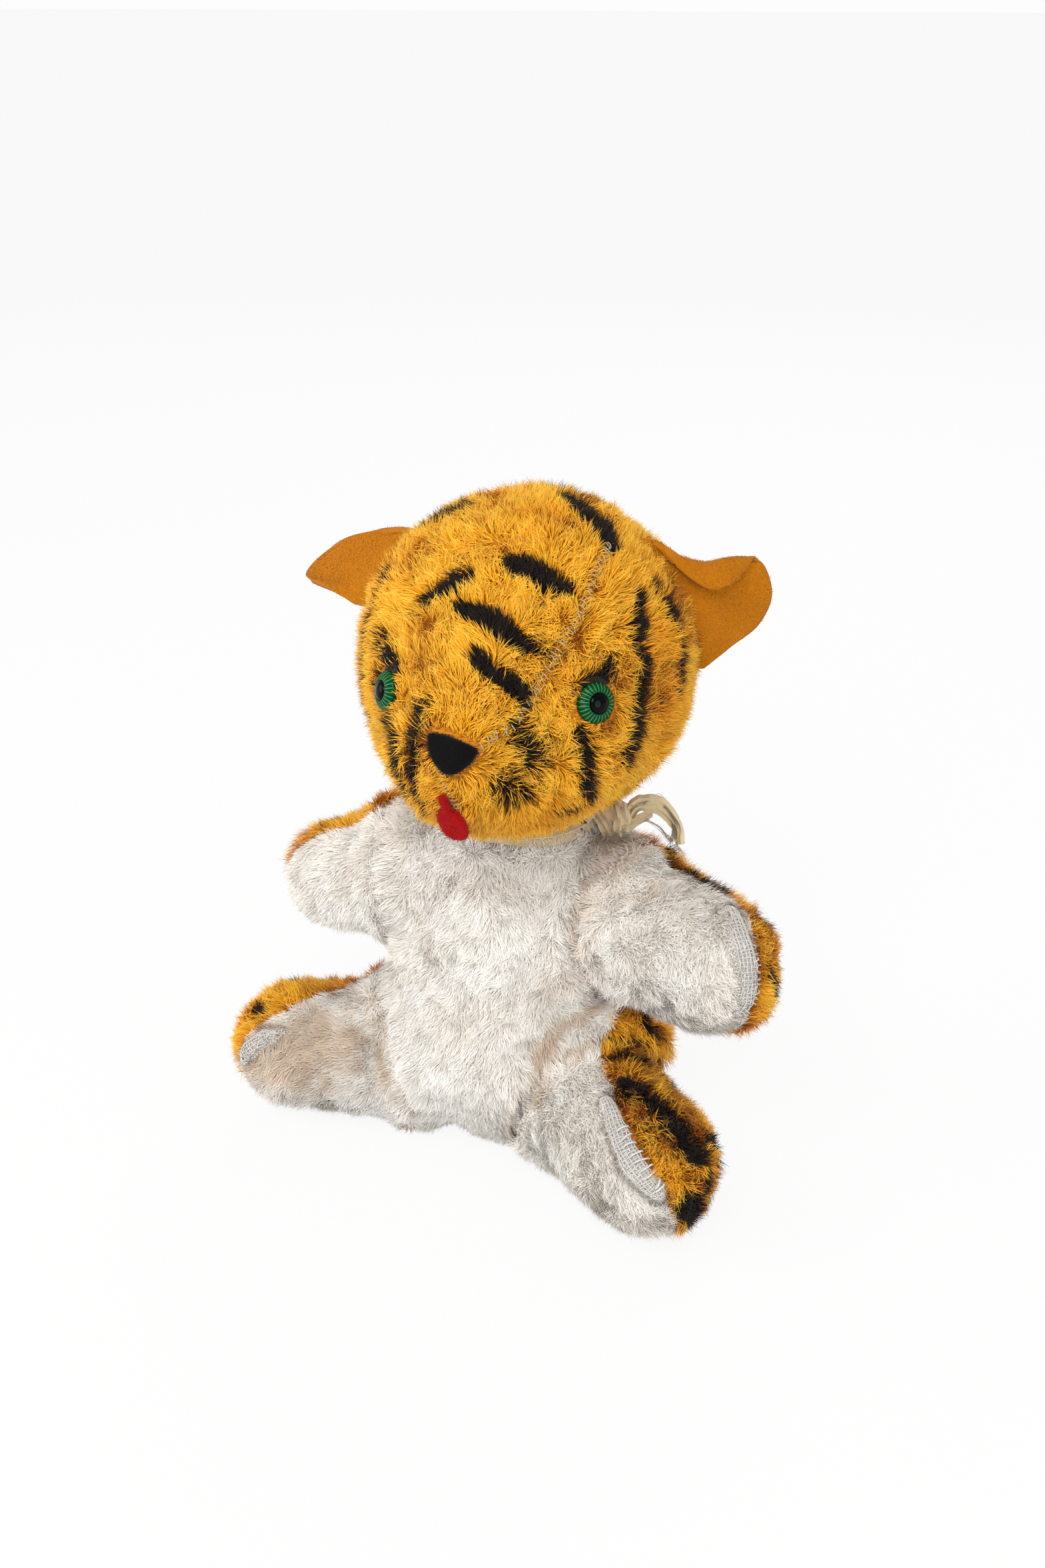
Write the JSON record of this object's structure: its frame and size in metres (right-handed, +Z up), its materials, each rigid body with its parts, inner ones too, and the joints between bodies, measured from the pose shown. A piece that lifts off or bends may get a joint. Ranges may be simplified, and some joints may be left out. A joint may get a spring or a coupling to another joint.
{
  "type": "plush toy",
  "caption": "Sewn plush tiger sitting with its legs apart, with a round stuffed head, felt ears, ribbed plastic eyes and a ribbon round its neck.",
  "frame": {"origin": "on the surface the toy sits on, under the middle of the torso", "axes": "+Z up from the seat, -Y the way the tiger's body faces, +X to its own left"},
  "size_m": [0.1814, 0.1458, 0.214],
  "materials": {
    "orange_plush": "worn plush pile",
    "white_plush": "worn plush pile",
    "stuffing": "loose fibre filling",
    "ear_felt": "wool felt",
    "nose_felt": "wool felt",
    "tongue_felt": "wool felt",
    "eye_green": "glossy",
    "pupil_black": "glossy",
    "washer_white": "matte",
    "ribbon_cloth": "woven ribbon"
  },
  "bodies": {
    "torso": {"torso_front_panel": "white_plush", "torso_back_panel": "orange_plush", "torso_stuffing": "stuffing", "neck_ribbon": "ribbon_cloth", "ribbon_bow": "ribbon_cloth"},
    "neck": {"neck_stuffing": "stuffing"},
    "head": {"head_gusset": "orange_plush", "head_side_left": "orange_plush", "head_side_right": "orange_plush", "head_stuffing": "stuffing", "eye_left": "eye_green", "eye_right": "eye_green", "pupil_left": "pupil_black", "pupil_right": "pupil_black", "eye_washer_left": "washer_white", "eye_washer_right": "washer_white", "nose": "nose_felt", "tongue": "tongue_felt"},
    "ear_left": {"ear_left": "ear_felt"},
    "ear_right": {"ear_right": "ear_felt"},
    "tail": {"tail": "orange_plush"},
    "arm_left": {"arm_left_inner_panel": "white_plush", "arm_left_outer_panel": "orange_plush", "arm_left_stuffing": "stuffing"},
    "arm_right": {"arm_right_inner_panel": "white_plush", "arm_right_outer_panel": "orange_plush", "arm_right_stuffing": "stuffing"},
    "leg_left": {"leg_left_inner_panel": "white_plush", "leg_left_outer_panel": "orange_plush", "leg_left_stuffing": "stuffing"},
    "leg_right": {"leg_right_inner_panel": "white_plush", "leg_right_outer_panel": "orange_plush", "leg_right_stuffing": "stuffing"}
  },
  "joints": [
    {"name": "head_turn", "type": "hinge", "parent": "torso", "child": "neck", "pos_m": [0.00378, 0, 0.108], "axis": [0, 0, 1], "range_deg": [-25, 25], "stiffness_Nm_per_rad": 0.1},
    {"name": "head_nod", "type": "hinge", "parent": "neck", "child": "head", "pos_m": [0.00378, 0, 0.108], "axis": [0.9903, 0.1392, 0], "range_deg": [-8, 4], "stiffness_Nm_per_rad": 0.6},
    {"name": "arm_left_swing", "type": "hinge", "parent": "torso", "child": "arm_left", "pos_m": [0.02805, 0, 0.087], "axis": [0, 0, 1], "range_deg": [-15, 18], "stiffness_Nm_per_rad": 0.03},
    {"name": "arm_right_swing", "type": "hinge", "parent": "torso", "child": "arm_right", "pos_m": [-0.02195, 0, 0.087], "axis": [0, 0, 1], "range_deg": [-18, 15], "stiffness_Nm_per_rad": 0.03},
    {"name": "leg_left_swing", "type": "hinge", "parent": "torso", "child": "leg_left", "pos_m": [0.019, -0.007, 0.0245], "axis": [0, 0, 1], "range_deg": [-10, 12], "stiffness_Nm_per_rad": 0.05},
    {"name": "leg_right_swing", "type": "hinge", "parent": "torso", "child": "leg_right", "pos_m": [-0.019, -0.007, 0.0245], "axis": [0, 0, 1], "range_deg": [-12, 10], "stiffness_Nm_per_rad": 0.05},
    {"name": "ear_left_flap", "type": "hinge", "parent": "head", "child": "ear_left", "pos_m": [0.04456, 0.00928, 0.18244], "axis": [0.3625, 0.1745, -0.9155], "range_deg": [-6, 8], "stiffness_Nm_per_rad": 0.02},
    {"name": "ear_right_flap", "type": "hinge", "parent": "head", "child": "ear_right", "pos_m": [-0.03297, -0.00141, 0.18589], "axis": [-0.4482, -0.0548, -0.8922], "range_deg": [-8, 6], "stiffness_Nm_per_rad": 0.02},
    {"name": "tail_swing", "type": "hinge", "parent": "torso", "child": "tail", "pos_m": [0, 0.037, 0.017], "axis": [0, 0, 1], "range_deg": [-12, 12], "stiffness_Nm_per_rad": 0.03}
  ]
}
